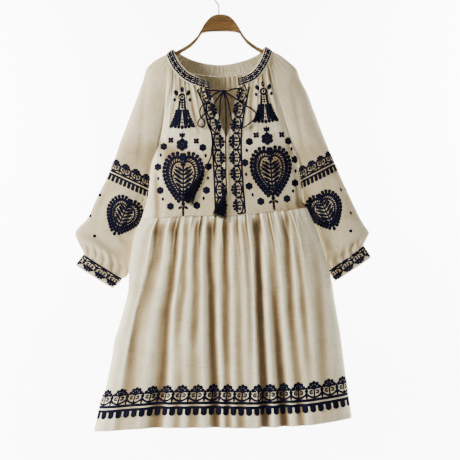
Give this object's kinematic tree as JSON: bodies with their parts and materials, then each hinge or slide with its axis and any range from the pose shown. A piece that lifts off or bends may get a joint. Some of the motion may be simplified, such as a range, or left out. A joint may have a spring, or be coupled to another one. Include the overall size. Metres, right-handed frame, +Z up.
{
  "type": "peasant dress on a wooden hanger",
  "caption": "Long-sleeved cream linen peasant dress with dark folk embroidery, a gathered skirt and a tasselled drawstring, hung on a bent-wood hanger.",
  "frame": {"origin": "the inner top of the hanger's hook, where it rests on a rail", "axes": "+Z up, -Y towards the front of the dress, +X to the viewer's right seen from the front"},
  "size_m": [0.7512, 0.1116, 1.1296],
  "materials": {
    "cloth": "plain-woven linen, embroidered",
    "cord": "twisted cord and threads",
    "wood": "clear satin varnish",
    "wire": "black, semi-gloss"
  },
  "bodies": {
    "root": {"bodice_back": "cloth", "bodice_front_left": "cloth", "bodice_front_right": "cloth", "cuff_left": "cloth", "cuff_right": "cloth", "neckband_back": "cloth", "neckband_front_left": "cloth", "neckband_front_right": "cloth", "skirt_back": "cloth", "skirt_front": "cloth", "sleeve_left": "cloth", "sleeve_right": "cloth", "bow_knot": "cord", "bow_loop_left": "cord", "bow_loop_right": "cord", "tail_left": "cord", "tail_right": "cord", "tassel_left": "cord", "tassel_right": "cord", "tie_left": "cord", "tie_right": "cord", "hanger_body": "wood", "hanger_hook": "wire"}
  },
  "joints": []
}
